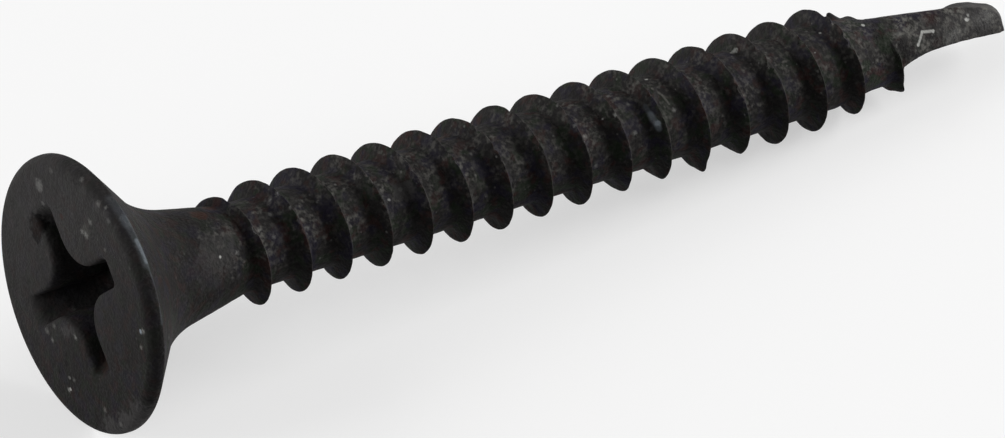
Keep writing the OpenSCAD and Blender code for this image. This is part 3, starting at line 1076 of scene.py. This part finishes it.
# Finish, both ends as height, degrees and distance from the axis, width and strength.
SCRATCHES = (
    ("dust", (28.63, 153.5, 1.11), (28.88, 136.5, 1.11), 0.06, 0.8),
    ("dust", (28.88, 136.5, 1.11), (29.25, 140, 1.11), 0.065, 0.8),
    ("scuff_and_highlight", (19.0, 124, 1.4), (19.06, 138.4, 1.42), 0.12, 0.1),
    ("scuff_and_highlight", (19.06, 136, 1.42), (19.13, 152, 1.49), 0.17, 0.25),
    ("dusted", (19.6, 99.6, 1.3), (19.75, 114.4, 1.3), 0.05, 0.9),
    ("dusted", (19.75, 114.4, 1.3), (19.82, 128.8, 1.3), 0.05, 0.7),
    ("pale_coat", (19.7, 101.2, 1.26), (19.25, 135, 1.5), 0.09, 1.0),
    ("pale_coat", (10.4, 75, 1.6), (10.7, 100, 1.5), 0.04, 1.0),
    # Bright streaks along the back edge of the rim: painted highlight.
    ("scuff_and_highlight", (0.25, 106, 4.13), (0.26, 118, 4.15), 0.24, 0.07),
    ("scuff_and_highlight", (0.27, 116, 4.15), (0.32, 136, 4.14), 0.2, 0.1),
    ("scuff_and_highlight", (0.3, 126, 4.15), (0.34, 135, 4.14), 0.1, 0.3),
    ("scuff_and_highlight", (0.36, 138, 4.14), (0.38, 160, 4.14), 0.08, 0.08),
)
DOT_STRENGTH = 0.7

# Sides of the screw in degrees around its axis, and places on it in millimetres from the face.
NECK_DUST_AND_SHEEN = (4.3, 138, 1.6)
DUSTY_SIDE = 122
UPPER_SIDE = 50
SHADED_EDGE_SIDE = 160
LOWER_FRONT = 200
FACE_LIGHT_SIDE = 45
THREAD_COAT_FROM = 4.3
FIRST_RIDGE_TO = 5.6
THREAD_END_FROM = 26.2
POINT_COAT_FROM = 28.0
TIP_COAT_FROM = 29.2
BARE_TIP_FROM = 30.7
SHADED_EDGE_FROM = 3.9


def with_marks(tree, mask, base, finish):
    """The coat with its spots, dots and scratches, each over the ones before it; some spots and scratches are
    painted shade and painted highlights.
    """
    for kind, height, degrees, radius, size, strength in SPOTS:
        spot = mask("Spot", Centre=on_screw(height, degrees, radius), Radius=size)
        base = mixed(tree, spot * strength, base, getattr(finish, kind))
    for height, degrees, radius, size, strength in DOTS:
        dot = mask("Dot", Centre=on_screw(height, degrees, radius), Radius=size)
        base = mixed(tree, dot * strength * DOT_STRENGTH, base, finish.dust)
    for kind, start, stop, width, strength in SCRATCHES:
        line = mask("Scratch", From=on_screw(*start), To=on_screw(*stop), Width=width)
        base = mixed(tree, line * strength, base, getattr(finish, kind))
    return base


def phosphate(finish):
    """Black phosphate: a dark, mottled and grainy coat with rubbed crests, rust, scuffs and dust, with
    painted shade on the flanks, the edge of the face, the recess and the groove by the first ridge, and
    painted light on the face, the upper flanks, the valleys, the neck and the rim.
    """
    material = bpy.data.materials.new("black_phosphate")
    material.use_nodes = True
    tree = material.node_tree
    shader = tree.nodes["Principled BSDF"]
    shader.inputs["Specular IOR Level"].default_value = finish.gloss
    where = node_in(tree, "ShaderNodeTexCoord").outputs["Object"]
    place = scaled(tree, where, 1 / MM)
    effects = {
        "Mottle": mottle_effect(), "Specks": speck_effect(), "Spot": spot_effect(),
        "Scratch": scratch_effect(), "Dot": dot_effect(),
    }

    def mask(name, **values):
        node = node_in(tree, "ShaderNodeGroup", node_tree=effects[name])
        plug(tree, place, node.inputs["Place"])
        for label, value in values.items():
            plug(tree, value, node.inputs[label])
        return Num(tree, node.outputs["Mask"])

    from_face = vector_maths(tree, "SUBTRACT", place, FACE_CENTRE / MM)

    def towards(degrees):
        """How far a point lies from the axis towards this side of it, in millimetres."""
        direction = on_screw(0, degrees, 1) - on_screw(0, 0, 0)
        return vector_maths(tree, "DOT_PRODUCT", from_face, direction)

    height = vector_maths(tree, "DOT_PRODUCT", from_face, ALONG)
    dusty_side = smooth_step(towards(DUSTY_SIDE) / 1.5 + 0.1)
    # Painted light: the face gets pale coat, more of it towards one side.
    lit_face = (1.0 - smooth_step(height / 0.4)) * smooth_step(0.5 + towards(FACE_LIGHT_SIDE) / 8.0)
    on_thread = ramp(height, THREAD_COAT_FROM, 1.2)
    on_point = ramp(height, POINT_COAT_FROM, 0.3)
    from_centre = vector_maths(tree, "DISTANCE", place, on_screw(0.2, 0, 0))
    lower_front = clamped(towards(LOWER_FRONT) / 2.5)
    # Painted shade: a dark band along the rounded edge of the face on one side, reaching lower towards the
    # front.
    edge = smooth_step((from_centre - SHADED_EDGE_FROM + 0.15 * lower_front) / 0.3)
    shaded_edge_height = 1.0 - smooth_step((height - 0.04 - 0.2 * lower_front) / 0.1)
    edge = edge * smooth_step(towards(SHADED_EDGE_SIDE) / 3.0) * shaded_edge_height
    up = towards(UPPER_SIDE)
    lower_side = smooth_step((0.58 - up / 1.5) / 0.5)
    # The underside gets less pale coat between the ridges, as painted shade.
    underside = smooth_step((-0.1 - up) / 0.6)

    def kept_value(name):
        return Num(tree, node_in(tree, "ShaderNodeAttribute", attribute_name=name).outputs["Fac"])

    crest = kept_value(CREST)
    ragged = mask("Mottle", Size=0.3, Detail=3.0, Low=0.3, High=0.7)
    # Painted shade: the flank of each ridge that faces the head and the strip in front of it, darker on the
    # lower side, where the ridges shade each other.
    shaded = smooth_step(most(smooth_step(crest * 3.0), kept_value(BEFORE)) * 1.4 - 0.7 * ragged)
    first_ridge = 1.0 - ramp(height, FIRST_RIDGE_TO, 0.5)
    flank = shaded * (0.3 + 0.7 * lower_side) * on_thread * (1.0 - 0.7 * crest * first_ridge)
    valley = (1.0 - flank) * on_thread
    fine = mask("Mottle", Size=0.09, Detail=3.0, Low=0.36, High=0.7)
    patches = mask("Mottle", Size=0.45, Detail=3.0, Low=0.42, High=0.68)
    clouds = mask("Mottle", Size=2.4, Detail=2.0, Low=0.35, High=0.65)
    flecks = mask("Mottle", Size=0.14, Detail=4.0, Low=0.42, High=0.7)
    tinted = 0.35 + 0.65 * on_thread
    green = mask("Mottle", Size=0.5, Low=0.48, High=0.62) * tinted
    red = mask("Mottle", Size=0.42, Low=0.52, High=0.64) * tinted
    blue = mask("Mottle", Size=0.6, Low=0.5, High=0.64) * tinted
    base = mixed(tree, green, finish.coat, finish.green_tint)
    base = mixed(tree, red, base, finish.red_tint)
    base = mixed(tree, blue, base, finish.blue_tint)
    # Painted shade in deep coat on the flanks of the thread and along the edge of the face.
    base = mixed(tree, flank * finish.flank_shade, base, finish.dark_coat_and_shade)
    base = mixed(tree, edge * finish.edge_shade, base, finish.dark_coat_and_shade)
    # Mottled pale coat, with less of it on the painted shade of the flanks.
    pale = fine * (0.15 + 0.45 * patches) * (0.5 + 0.5 * clouds) * (1.0 - 0.6 * flank)
    # Painted light: pale coat on the shaded flanks of the upper side, where light falls on them.
    pale = pale + 0.2 * shaded * patches * (1.0 - lower_side) * on_thread
    # Painted light on the face.
    pale = pale + finish.face_light * lit_face
    along_thread = 0.08 * ramp(height, 14.0, 8.0) - 0.1 * ramp(height, THREAD_END_FROM, 0.8)
    # Pale coat between the ridges, outside the painted shade, is partly painted light. The underside gets
    # less of it, which is painted shade.
    pale = pale + (finish.pale_and_lit_valley + along_thread) * valley * (1.0 - 0.5 * underside)
    pale = pale + finish.pale_point * (1.0 + ramp(height, TIP_COAT_FROM, 1.5)) * on_point
    pale = pale + 0.7 * flecks * patches * on_point
    point_top = ramp(up, 0.05, 0.5) * on_point
    pale = pale * (1.0 - 0.55 * point_top * (1.0 - ramp(height, BARE_TIP_FROM, 0.8)))
    # The edge band takes less pale coat, which deepens its painted shade.
    base = mixed(tree, least(pale, 1.0) * (1.0 - 0.45 * edge), base, finish.pale_coat)
    # Dust flecks on the neck, which also paint its highlight.
    neck_dust_and_sheen = mask("Spot", Centre=on_screw(*NECK_DUST_AND_SHEEN), Radius=1.2)
    dusted = flecks * (dusty_side * on_thread * (0.3 + 0.7 * valley) + 0.8 * neck_dust_and_sheen)
    base = mixed(tree, dusted * (0.3 + 0.7 * patches + 0.5 * on_point), base, finish.dusted)
    # Rubbed crests, kept to the lower side: wear, and a painted highlight where the crest edges catch light.
    worn = smooth_step((crest - 0.85) * 7.0) * flecks * lower_side
    base = mixed(tree, worn * finish.wear, base, finish.rubbed)
    base = with_marks(tree, mask, base, finish)
    dust = mask("Specks", Spacing=0.42, Size=0.1, Share=0.1) * (0.2 + 0.8 * dusty_side * on_thread)
    grit = mask("Specks", Spacing=0.17, Size=0.26, Share=0.1) * (0.15 + 0.6 * dusty_side * on_thread)
    base = mixed(tree, most(dust * 0.5, grit * 0.3), base, finish.dust)
    plug(tree, base, shader.inputs["Base Color"])

    rough = finish.roughness + (patches - 0.5) * 0.12
    plug(tree, rough, shader.inputs["Roughness"])
    undulation = mask("Mottle", Size=0.4, Detail=1.0, Low=0.2, High=0.8)
    bump = node_in(
        tree, "ShaderNodeBump",
        {"Height": fine * 0.5 + undulation, "Distance": 0.025 * MM, "Strength": 1.0},
    )
    plug(tree, bump.outputs["Normal"], shader.inputs["Normal"])
    return material


class SCREW_OT_make(bpy.types.Operator):
    """Make the drywall screw and give it its finish"""

    bl_idname = "screw.make"
    bl_label = "Make Screw"

    def execute(self, context):
        settings = context.scene.drywall_screw
        obj = make_screw(settings, phosphate(settings.finish))
        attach(obj, "root")
        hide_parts("screw")
        return {"FINISHED"}


LAMPS = (("left_lamp", -112, 26, 0.87), ("right_lamp", 70, 22, 1.5))
LAMP_DISTANCE = 0.35
LAMP_SIZE = 0.25
FLOOR_HALF = 0.6
SENSOR_WIDTH = 36.0


def heading(azimuth, elevation):
    """Direction to a camera or a lamp: azimuth 0 is towards -Y, and 90 degrees towards +X."""
    flat = math.cos(elevation)
    return Vector((math.sin(azimuth) * flat, -math.cos(azimuth) * flat, math.sin(elevation)))


def add_lamp(name, azimuth, elevation, power, target):
    """A soft square lamp that shines at the target from this direction, given in degrees."""
    lamp = bpy.data.lights.new(name, "AREA")
    lamp.shape = "SQUARE"
    lamp.size = LAMP_SIZE
    lamp.energy = power
    obj = bpy.data.objects.new(name, lamp)
    back = heading(math.radians(azimuth), math.radians(elevation))
    obj.location = Vector(target) + back * LAMP_DISTANCE
    obj.rotation_euler = (Vector(target) - obj.location).to_track_quat("-Z", "Y").to_euler()
    bpy.context.scene.collection.objects.link(obj)


def white_to_eye(tree):
    """1 for rays that show the background itself or its reflection, 0 for rays that light."""
    path = node_in(tree, "ShaderNodeLightPath").outputs
    seen = Num(tree, path["Is Camera Ray"])
    return least(seen + Num(tree, path["Is Glossy Ray"]) + Num(tree, path["Is Transmission Ray"]), 1.0)


def add_floor(stage):
    mesh = bpy.data.meshes.new("floor")
    signs = ((-1, -1), (1, -1), (1, 1), (-1, 1))
    mesh.from_pydata([(x * FLOOR_HALF, y * FLOOR_HALF, 0) for x, y in signs], [], [(0, 1, 2, 3)])
    floor = bpy.data.objects.new("floor", mesh)
    bpy.context.scene.collection.objects.link(floor)
    material = bpy.data.materials.new("floor")
    material.use_nodes = True
    tree = material.node_tree
    shader = tree.nodes["Principled BSDF"]
    shader.inputs["Base Color"].default_value = (*stage.floor, 1.0)
    shader.inputs["Roughness"].default_value = 0.9
    shader.inputs["Specular IOR Level"].default_value = 0.0
    shader.inputs["Emission Color"].default_value = (1.0, 1.0, 1.0, 1.0)
    plug(tree, white_to_eye(tree) * stage.floor_glow, shader.inputs["Emission Strength"])
    mesh.materials.append(material)


def add_camera(stage):
    camera = bpy.data.cameras.new("camera")
    camera.lens = stage.lens
    camera.sensor_width = SENSOR_WIDTH
    camera.clip_start = 0.01
    camera.clip_end = 10.0
    obj = bpy.data.objects.new("camera", camera)
    back = heading(stage.azimuth, stage.elevation)
    turn = back.to_track_quat("Z", "Y") @ Matrix.Rotation(stage.roll, 3, "Z").to_quaternion()
    obj.matrix_world = (
        Matrix.Translation(Vector(stage.target) + back * stage.distance) @ turn.to_matrix().to_4x4()
    )
    bpy.context.scene.collection.objects.link(obj)
    bpy.context.scene.camera = obj


def set_world(stage):
    world = bpy.data.worlds.new("studio")
    bpy.context.scene.world = world
    world.use_nodes = True
    tree = world.node_tree
    tree.nodes.clear()
    lit, seen = [
        node_in(tree, "ShaderNodeBackground", {"Color": (1.0, 1.0, 1.0, 1.0), "Strength": strength})
        for strength in (stage.world_light, 1.0)
    ]
    mix = node_in(
        tree, "ShaderNodeMixShader",
        {0: white_to_eye(tree), 1: lit.outputs[0], 2: seen.outputs[0]},
    )
    node_in(tree, "ShaderNodeOutputWorld", {"Surface": mix.outputs[0]})


class SCREW_OT_stage(bpy.types.Operator):
    """Set up the floor, the lamps, the white surroundings and the camera"""

    bl_idname = "screw.stage"
    bl_label = "Set Up Stage"

    def execute(self, context):
        stage = context.scene.drywall_screw.stage
        add_camera(stage)
        add_floor(stage)
        set_world(stage)
        for lamp in LAMPS:
            add_lamp(*lamp, stage.target)
        context.scene.view_settings.view_transform = "Standard"
        return {"FINISHED"}


class SCREW_PT_panel(bpy.types.Panel):
    """Lists the sizes and finishes of the screw and makes it"""

    bl_idname = "SCREW_PT_panel"
    bl_label = "Drywall Screw"
    bl_space_type = "VIEW_3D"
    bl_region_type = "UI"
    bl_category = "Screw"

    def draw(self, context):
        settings = context.scene.drywall_screw
        for part in ("head", "recess", "thread", "point", "mesh", "finish", "stage"):
            box = self.layout.box()
            box.label(text=part.capitalize())
            group = getattr(settings, part)
            for name in type(group).__annotations__:
                box.prop(group, name)
        for operator in (SCREW_OT_make, SCREW_OT_stage):
            self.layout.operator(operator.bl_idname)


CLASSES = (
    HeadSize, RecessSize, ThreadSize, PointSize, MeshSize, Finish, Stage, ScrewSettings,
    SCREW_OT_make, SCREW_OT_stage, SCREW_PT_panel,
)


def register():
    for cls in CLASSES:
        bpy.utils.register_class(cls)
    bpy.types.Scene.drywall_screw = PointerProperty(type=ScrewSettings)


def unregister():
    del bpy.types.Scene.drywall_screw
    for cls in reversed(CLASSES):
        bpy.utils.unregister_class(cls)


def main():
    register()
    bpy.ops.screw.stage()
    bpy.ops.screw.make()


if __name__ == "__main__":
    main()
